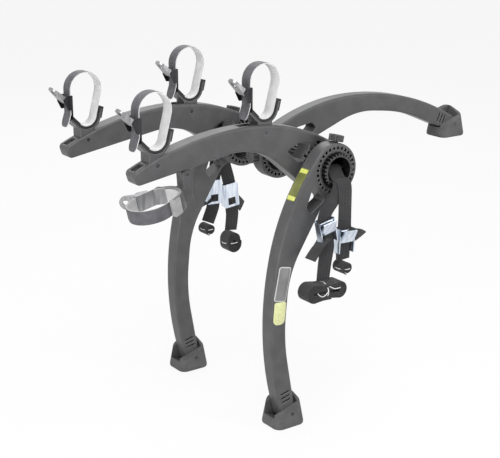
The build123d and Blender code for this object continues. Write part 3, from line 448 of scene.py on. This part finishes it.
def winding_line(centre, slant, first_radius, half_turns, length, pinch):
    """Centre line of a rolled strap in its plane, drawn in at the waist by a tie."""
    turn = polar(1, slant)
    points = []
    for half in range(half_turns):
        side = 1 - 2 * (half % 2)
        radius = first_radius + half * ROLL_PITCH / 2
        middle = Vector((side * length / 2, (side - 1) * ROLL_PITCH / 4))
        for step in range(WINDING_STEPS):
            points.append(middle + polar(radius, -90 * side + 180 * step / WINDING_STEPS))
        if length:
            last = middle + polar(radius, -90 * side + 180)
            points += [last, last - Vector((side * length / 3, 0)), last - Vector((side * length * 2 / 3, 0))]
    line = []
    for spot in points:
        waist = 1 - pinch * math.exp(-((spot.x / max(length / 3, 1)) ** 2))
        x, z = Vector((spot.x, spot.y * waist))
        line.append(Vector((centre[0] + x * turn.x - z * turn.y, centre[1],
                            centre[2] + x * turn.y + z * turn.x)) * MM)
    return line


TIE_R = 0.75
TIE_SIDES = 8
TIE_FIRST_SIDE = (0.3, 1, 0.2)


def tie_wire(name, points):
    """Round twist tie through a row of points."""
    line = smooth_line([Vector(p) * MM for p in points])
    sides = TIE_SIDES
    verts, faces = [], []
    last_side = Vector(TIE_FIRST_SIDE)
    for index, point in enumerate(line):
        travel = (line[min(index + 1, len(line) - 1)] - line[max(index - 1, 0)]).normalized()
        side = (last_side - travel * last_side.dot(travel)).normalized()
        last_side = side
        up = travel.cross(side)
        for step in range(sides):
            spot = polar(TIE_R * MM, 360 * step / sides)
            verts.append(point + side * spot.x + up * spot.y)
    for index in range(len(line) - 1):
        for step in range(sides):
            following = (step + 1) % sides
            faces.append((index * sides + step, index * sides + following,
                          (index + 1) * sides + following, (index + 1) * sides + step))
    faces.append(tuple(range(sides)))
    faces.append(tuple(range((len(line) - 1) * sides, len(line) * sides)))
    soften(mesh_piece(name, verts, faces, TIE, "frame"), 60)


# Ladder straps of the cradles, in millimetres

LEFT_LIP_DEG = 225.0
TAIL_LEAN_DEG = 19.0
TAIL_BEND_R = 9.0
TAIL_RUN = 20.0
TAIL_TIP_SHARE = 0.38
STATION_STEP = 0.8
TOOTHED_FROM = 0.62
TOOTH_PITCH = 3.2
TOOTH_RISE = 0.45
TOOTH_PEAK = 0.25
TOOTH_HALF = 0.39
STRAP_EDGE_ROUND = 0.35
STRAP_COLUMNS = (-0.5, -0.4, -0.34, 0.0, 0.34, 0.4, 0.5)


def strap_stations(loop):
    """Centre line of a strap in its loop's side view, each point with its outward normal."""
    tilt = math.degrees(math.asin((loop["top"] - loop["bottom"]) / loop["spread"]))
    centre = Vector((0.0, loop["middle"]))
    upper = centre + Vector((0.0, loop["spread"]))
    stations = []

    def arc(middle, radius, first, last, outward=1):
        count = max(2, int(abs(last - first) * math.radians(1) * radius / STATION_STEP))
        for step in range(count):
            spot = polar(1, first + (last - first) * step / count)
            stations.append((middle + spot * radius, spot * outward))

    def run(start, direction, length, normal):
        count = max(2, int(length / STATION_STEP))
        for step in range(count):
            stations.append((start + direction * (length * step / count), normal))

    arc(centre, loop["bottom"], LEFT_LIP_DEG, 360 - tilt)
    start = centre + polar(loop["bottom"], -tilt)
    span = upper + polar(loop["top"], -tilt) - start
    run(start, span.normalized(), span.length, polar(1, -tilt))
    arc(upper, loop["top"], -tilt, 180)
    run(Vector((-loop["top"], upper.y)), Vector((0.0, -1.0)), upper.y - loop["tail"], Vector((-1.0, 0.0)))
    bend = Vector((-loop["top"] - TAIL_BEND_R, loop["tail"]))
    arc(bend, TAIL_BEND_R, 0, -TAIL_LEAN_DEG, -1)
    bend = bend + polar(TAIL_BEND_R, -TAIL_LEAN_DEG)
    away = polar(1, 180 - TAIL_LEAN_DEG)
    run(bend, polar(1, -90 - TAIL_LEAN_DEG), TAIL_RUN, away)
    stations.append((bend + polar(TAIL_RUN, -90 - TAIL_LEAN_DEG), away))
    return stations


def ladder_strap(name, node, body, origin, right, up, loop):
    """Strap with its row of teeth outside, a pale inner face that is a painted highlight, and a rounded tail.
    """
    origin, right, up = Vector(origin), Vector(right), Vector(up)
    wide = right.cross(up)
    stations = strap_stations(loop)
    lengths = [0.0]
    for (point, _), (following, _) in zip(stations, stations[1:]):
        lengths.append(lengths[-1] + (following - point).length)
    total, toothed = lengths[-1], lengths[-1] * TOOTHED_FROM
    verts, faces, inner = [], [], []
    for (point, normal), run in zip(stations, lengths):
        end = min(1.0, (total - run) / (STRAP_WIDTH / 2))
        half = math.sqrt(1 - (1 - end) ** 2) * (1 - TAIL_TIP_SHARE) + TAIL_TIP_SHARE
        phase = (run % TOOTH_PITCH) / TOOTH_PITCH
        slope = min(phase / TOOTH_PEAK, 1.0) * min((1 - phase) / (1 - TOOTH_PEAK), 1.0)
        tooth = TOOTH_RISE * slope if run > toothed else 0.0
        for side in (1, -1):
            for column in STRAP_COLUMNS:
                rise = tooth if side == 1 and abs(column) < TOOTH_HALF else 0.0
                round_off = STRAP_EDGE_ROUND if abs(column) == 0.5 else 0.0
                spot = point + normal * side * (STRAP_T / 2 + rise - round_off)
                across = wide * (column * half * STRAP_WIDTH)
                verts.append((origin + right * spot.x + up * spot.y + across) * MM)
    columns = len(STRAP_COLUMNS)
    ring = 2 * columns
    for index in range(len(stations) - 1):
        low, high = index * ring, (index + 1) * ring
        for column in range(columns - 1):
            faces.append((low + column, low + column + 1, high + column + 1, high + column))
            inner.append(0)
            faces.append((low + columns + column, high + columns + column,
                          high + columns + 1 + column, low + columns + 1 + column))
            inner.append(1)
        for column in (0, columns - 1):
            faces.append((low + column, high + column, high + columns + column, low + columns + column))
            inner.append(1)
    for base in (0, (len(stations) - 1) * ring):
        for column in range(columns - 1):
            faces.append((base + column, base + column + 1,
                          base + columns + column + 1, base + columns + column))
            inner.append(1)
    piece = mesh_piece(name, verts, faces, STRAP_OUTER, body)
    # The pale painted-highlight copy goes on the inner faces, edges and ends.
    piece.data.materials.append(STRAP_INNER_LIT)
    for polygon, index in zip(piece.data.polygons, inner):
        polygon.material_index = index
    soften(piece, 32)
    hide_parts(node)


def dress_straps():
    for hand, sign in (("right", -1), ("left", 1)):
        for place, seat in (("outer", OUTER_SEAT), ("inner", INNER_SEAT)):
            ladder_strap(f"{hand}_{place}_ladder", f"{hand}_{place}_strap", hand + "_arm",
                         (seat[0], sign * ARM_Y, seat[1]), (1, 0, 0), (0, 0, 1), CRADLE_LOOP)
    ladder_strap("sway_ladder", "sway_strap", "sway", SWAY_AT, (0, -1, 0), SWAY_UP, SWAY_LOOP)


# Webbing, in millimetres; the routes are those of the CAD model, and y counts outward from the middle

CAM_HALF = 24.6
UNDER_ROUTE = ((0.0, 138.0, -5.2), (0.0, 144.0, -8.0), (0.0, 150.0, -15.5), (0.0, 160.0, -16.0),
               (-3.0, 165.2, -20.0))
OVER_ROUTE = ((0.5, 138.0, 5.2), (0.5, 143.5, 4.0), (0.7, 149.0, -5.0), (1.0, 155.0, -12.8),
              (2.0, 161.5, -13.2), (3.5, 168.2, -19.0))

# A cam buckle's middle in x and z and the lean of its strap; the route above it and the route below it;
# a roll's middle, slant, length, half turns and pinch; a tail's points and its width's two directions
RIGHT_CAMS = ((-31.0, -86.0, -78.0), (5.0, -106.0, -93.0))
RIGHT_ROUTES = (
    (UNDER_ROUTE + ((-11.0, 166.0, -34.0),),
     ((-29.0, 166.0, -125.0), (-32.0, 166.5, -140.0), (-34.0, 166.0, -163.0))),
    (OVER_ROUTE + ((4.6, 168.2, -44.0),), ((4.2, 166.0, -137.5),)),
)
RIGHT_ROLLS = ((-34.0, 166.0, -178.7, -3.0, 48.0, 10, 0.24), (4.0, 166.0, -148.2, 0.0, 0.0, 6, 0.0))
RIGHT_TAILS = (
    (((-34.0, 169.0, -96.0), (-44.0, 171.0, -103.0), (-54.0, 172.0, -112.0), (-64.0, 172.0, -124.0)),
     ((0.5, 0.6, 0.4), (0.6, 0.3, 0.7))),
    (((8.0, 170.0, -98.0), (18.0, 172.0, -99.0), (27.0, 172.0, -101.0), (33.0, 171.0, -105.0)),
     ((0.1, 0.5, 0.9), (0.2, 0.5, 0.9))),
)
LEFT_CAMS = ((-11.0, -101.0, -92.0), (24.0, -112.0, -84.0))
LEFT_ROUTES = (
    (UNDER_ROUTE + ((-4.0, 166.0, -40.0),), ((-18.0, 166.0, -140.0), (-24.0, 166.0, -153.5))),
    (OVER_ROUTE + ((10.0, 168.2, -48.0),), ((28.0, 166.0, -150.0), (24.0, 166.0, -176.0))),
)
LEFT_ROLLS = ((-26.0, 166.0, -163.9, 0.0, 0.0, 6, 0.0), (23.0, 166.0, -195.8, 90.0, 8.0, 10, 0.0))
LEFT_TAILS = (
    (((-14.0, 169.0, -108.0), (-24.0, 171.0, -114.0), (-34.0, 172.0, -123.0), (-42.0, 172.0, -135.0)),
     ((0.5, 0.6, 0.4), (0.7, 0.3, 0.6))),
    (((26.0, 170.0, -118.0), (36.0, 172.0, -121.0), (45.0, 172.0, -128.0), (52.0, 171.0, -138.0)),
     ((0.4, 0.5, 0.6), (0.6, 0.5, 0.5))),
)


def dress_webbing(hand, sign, cams, routes, rolls, tails):
    """Two straps from the tube's mouth through their cam buckles, rolled up below."""
    for letter, (above, below), (x, z, lean) in zip("ab", routes, cams):
        down = polar(CAM_HALF, lean)
        cam = ((x - down.x, HANG_Y, z - down.y), (x, HANG_Y, z), (x + down.x, HANG_Y, z + down.y))
        points = [Vector((px, sign * py, pz)) * MM for px, py, pz in above + cam + below]
        ribbon(f"{hand}_strap_{letter}", smooth_line(points), (1, 0, 0), sway=0.05, cup=0.4)
    for letter, (x, y, z, slant, length, half_turns, pinch) in zip("ab", rolls):
        line = winding_line((x, sign * y, z), slant, ROLL_FIRST_R, half_turns, length, pinch)
        ribbon(f"{hand}_roll_{letter}", line, (0, 1, 0))
    for letter, (points, across) in zip("ab", tails):
        line = smooth_line([Vector((px, sign * py, pz)) * MM for px, py, pz in points])
        turned = tuple((ax, sign * ay, az) for ax, ay, az in across)
        ribbon(f"{hand}_tail_{letter}", line, turned, sway=0.1, cup=0.6)
    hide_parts(hand + "_webbing")


# Twist ties, in millimetres

LOOP_STEPS = 14
LOOP_SHIFT = 0.35
HANK_TWISTED_ENDS = ((6.0, -14.8, 6.0), (13.0, -15.4, 2.5), (22.0, -15.6, 3.5))
HANK_TAIL = ((-34.0, -181.2, -177.0), (-42.0, -181.4, -184.0), (-50.0, -181.4, -183.0),
             (-55.0, -181.2, -177.0))
CAM_TIE = ((-14.0, 174.0, -84.0), (-15.0, 178.5, -100.0), (-13.0, 178.5, -120.0), (-16.0, 176.0, -136.0))


def loop_points(centre, half_sizes, plane, turns, ends=()):
    """Points of a wire wound round a bundle, with its twisted ends."""
    count = int(LOOP_STEPS * turns)
    points = []
    for step in range(count + 1):
        spot = polar(1, 360 * turns * step / count + 90)
        a, b = spot.x * half_sizes[0], spot.y * half_sizes[1]
        shift = LOOP_SHIFT * step / count
        offset = {"yz": (shift, a, b), "xy": (a, b, shift)}[plane]
        points.append(tuple(c + o for c, o in zip(centre, offset)))
    return points + [tuple(c + o for c, o in zip(centre, end)) for end in ends]


def dress_ties():
    """White twist ties round the hanks and the rolls."""
    hank = loop_points((-34.0, -166.0, -178.7), (14.6, 12.4), "yz", 2.1, HANK_TWISTED_ENDS)
    tie_wire("tie_right_hank", hank)
    tie_wire("tie_right_hank_tail", HANK_TAIL)
    tie_wire("tie_right_roll", loop_points((4.0, -166.0, -150.0), (10.6, 13.6), "xy", 1.1))
    tie_wire("tie_left_roll", loop_points((-26.0, 166.0, -164.0), (10.8, 13.6), "xy", 1.1))
    tie_wire("tie_left_hank", loop_points((23.0, 166.0, -197.0), (15.6, 13.8), "xy", 1.1))
    tie_wire("tie_left_cam", CAM_TIE)


# Plates on the near leg, in millimetres

FILM_STEPS = 24
FILM_COLUMNS = 6
CORNER_STEPS = 8

# Name, first and last station along the leg's chord, half width and lift
FRONT_FILMS = (
    ("front_strip", 4.0, 54.0, 9.2, 0.35),
    ("front_strip_top", 5.0, 11.0, 8.4, 0.6),
    ("front_strip_end", 47.0, 53.0, 8.4, 0.6),
)

# Name, centre in x and z, slant, outline (half width, ends, corner radii) and lift
SIDE_PLATES = (
    ("side_plate_rim", (-98.3, -162.0), -11.3, (11.2, -27.0, 27.0, 4.0, 4.0), 0.5),
    ("side_plate_panel", (-98.3, -162.0), -11.3, (9.9, -25.7, 25.7, 3.0, 3.0), 0.8),
    ("side_reflector", (-103.6, -207.6), -5.0, (10.8, -18.0, 18.0, 3.0, 8.5), 0.7),
)

# Size and depth of a plate's rings, from its back to its front face
PLATE_RINGS = ((1.0, 0.0), (1.0, 0.6), (0.97, 1.0))


def leg_point(along, out, y):
    """A point in the leg's side view, as a place in the rack's frame, in metres."""
    chord = polar(1, LEG_CHORD_DEG)
    return Vector((along * chord.x + out * chord.y, y, along * chord.y - out * chord.x)) * MM


def front_height(along):
    """Height of the leg's front face over its chord."""
    start = polar(HUB_R, LEG_TANGENT_DEG)
    inward = polar(1, LEG_TANGENT_DEG - 180)
    span = Vector(LEG_CROWN) - start
    radius = span.length_squared / (2 * span.dot(inward))
    middle = start + inward * radius
    return middle.y + math.sqrt(radius * radius - (along - middle.x) ** 2)


def front_film(name, first, last, half_width, lift, material):
    """Film on the leg's front face, between two stations along the chord."""
    steps, columns = FILM_STEPS, FILM_COLUMNS
    verts, faces = [], []
    for layer in (0.0, lift):
        for step in range(steps + 1):
            along = first + (last - first) * step / steps
            for column in range(columns + 1):
                y = LEG_Y + half_width * (2 * column / columns - 1)
                verts.append(leg_point(along, front_height(along) + layer, y))
    size = (steps + 1) * (columns + 1)
    for base in (0, size):
        for step in range(steps):
            for column in range(columns):
                a = base + step * (columns + 1) + column
                faces.append((a, a + 1, a + columns + 2, a + columns + 1))
    for step in range(steps):
        for column in (0, columns):
            a = step * (columns + 1) + column
            faces.append((a, a + columns + 1, size + a + columns + 1, size + a))
    for step in (0, steps):
        for column in range(columns):
            a = step * (columns + 1) + column
            faces.append((a, a + 1, size + a + 1, size + a))
    soften(mesh_piece(name, verts, faces, material, "right_leg"))


def rounded_outline(half_width, low, high, radius, low_radius):
    """Outline of a plate: straight sides, rounded corners, a rounder lower end."""
    points = []
    for cx, cy, r, start in ((half_width - radius, high - radius, radius, 0),
                             (-half_width + radius, high - radius, radius, 90),
                             (-half_width + low_radius, low + low_radius, low_radius, 180),
                             (half_width - low_radius, low + low_radius, low_radius, 270)):
        for step in range(CORNER_STEPS + 1):
            spot = polar(r, start + 90 * step / CORNER_STEPS)
            points.append((cx + spot.x, cy + spot.y))
    return points


def side_plate(name, centre, slant, outline, lift, material):
    """Flat plate on the leg's outer side face, with a soft edge."""
    turn = polar(1, slant)
    outline = rounded_outline(*outline)
    verts = []
    for size, depth in PLATE_RINGS:
        for x, z in outline:
            px, pz = x * size, z * size
            verts.append(Vector((centre[0] + px * turn.x - pz * turn.y, LEG_Y - LEG_HALF_WIDTH - lift * depth,
                                 centre[1] + px * turn.y + pz * turn.x)) * MM)
    count = len(outline)
    faces = [tuple(range(count)), tuple(range(2 * count, 3 * count))]
    for ring in range(2):
        for index in range(count):
            following = (index + 1) % count
            faces.append((ring * count + index, ring * count + following,
                          (ring + 1) * count + following, (ring + 1) * count + index))
    soften(mesh_piece(name, verts, faces, material, "right_leg"))


def dress_leg_plates():
    """Plain film and plates: a strip on the front, a bare plate and a reflector on the side."""
    # The third colour of each of these plastics is a painted highlight on sharp edges.
    strip = moulded_plastic("strip_film", (0.11, 0.12, 0.035), (0.2, 0.215, 0.06), (0.3, 0.4), 700.0, 0.1,
                            (0.4, 0.42, 0.15))
    bar = reflector_material("strip_bars", (0.62, 0.66, 0.12), (0.8, 0.83, 0.3))
    bezel = moulded_plastic("plate_rim", (0.5, 0.5, 0.5), (0.62, 0.62, 0.62), (0.3, 0.45), 900.0, 0.1,
                            (0.7, 0.7, 0.7))
    panel = moulded_plastic("plate_panel", (0.16, 0.16, 0.16), (0.22, 0.22, 0.22), (0.4, 0.5), 900.0, 0.2,
                            (0.3, 0.3, 0.3))
    film = reflector_material("reflector_film", (0.6, 0.62, 0.28), (0.78, 0.8, 0.45))
    for values, material in zip(FRONT_FILMS, (strip, bar, bar)):
        front_film(*values, material)
    for values, material in zip(SIDE_PLATES, (bezel, panel, film)):
        side_plate(*values, material)


# Stage

def plain_rays(tree):
    """1 for the rays that see the background, straight or in a surface, and 0 for its light."""
    path = add_node(tree, "ShaderNodeLightPath")
    seen = math_node(tree, "MAXIMUM", path.outputs["Is Camera Ray"], path.outputs["Is Glossy Ray"])
    return math_node(tree, "MAXIMUM", seen, path.outputs["Is Transmission Ray"])


def add_surround(scene):
    """A grey surround that lights softly and is seen as white."""
    world = bpy.data.worlds.new("surround")
    scene.world = world
    world.use_nodes = True
    tree = world.node_tree
    shade = tree.nodes["Background"]
    tree.links.new(mixed(tree, plain_rays(tree), SURROUND_LIGHT, WHITE), shade.inputs["Color"])
    shade.inputs["Strength"].default_value = 1.0


def add_floor(scene):
    """A white floor under the boots that keeps the rack's shadow."""
    mesh = bpy.data.meshes.new("floor")
    level = min(corner.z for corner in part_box("right_foot"))
    corners = ((-1, -1), (1, -1), (1, 1), (-1, 1))
    mesh.from_pydata([(x * FLOOR_REACH, y * FLOOR_REACH, level) for x, y in corners], [], [(0, 1, 2, 3)])
    floor = bpy.data.objects.new("floor", mesh)
    scene.collection.objects.link(floor)
    material, tree, shader = new_material("floor_white", FLOOR_WHITE, 0.9, specular=0.0)
    glow = add_node(tree, "ShaderNodeEmission")
    glow.inputs["Strength"].default_value = 1.0
    mix = add_node(tree, "ShaderNodeMixShader")
    tree.links.new(math_node(tree, "MULTIPLY", plain_rays(tree), FLOOR_PLAIN_SHARE), mix.inputs[0])
    tree.links.new(shader.outputs[0], mix.inputs[1])
    tree.links.new(glow.outputs[0], mix.inputs[2])
    tree.links.new(mix.outputs[0], tree.nodes["Material Output"].inputs["Surface"])
    mesh.materials.append(material)


def add_lamps(scene):
    for name, place, aim, size, power in LAMPS:
        lamp = bpy.data.lights.new(name, "AREA")
        lamp.energy = power
        lamp.size = size
        holder = bpy.data.objects.new(name, lamp)
        holder.location = place
        holder.rotation_euler = (Vector(aim) - Vector(place)).to_track_quat("-Z", "Y").to_euler()
        scene.collection.objects.link(holder)


def add_camera(scene):
    """The photograph's viewpoint."""
    camera_data = bpy.data.cameras.new("camera")
    camera_data.lens = LENS_MM
    camera_data.sensor_width = SENSOR_MM
    camera_data.sensor_fit = "HORIZONTAL"
    camera = bpy.data.objects.new("camera", camera_data)
    camera.location = CAMERA_AT
    camera.rotation_euler = (CAMERA_TO - CAMERA_AT).to_track_quat("-Z", "Y").to_euler()
    scene.collection.objects.link(camera)
    bpy.context.scene.camera = camera


def build_stage():
    scene = bpy.context.scene
    add_surround(scene)
    add_floor(scene)
    add_lamps(scene)
    add_camera(scene)
    scene.view_settings.view_transform = "Standard"


dress_cad_nodes()
dress_straps()
dress_webbing("right", -1, RIGHT_CAMS, RIGHT_ROUTES, RIGHT_ROLLS, RIGHT_TAILS)
dress_webbing("left", 1, LEFT_CAMS, LEFT_ROUTES, LEFT_ROLLS, LEFT_TAILS)
dress_ties()
dress_leg_plates()
build_stage()
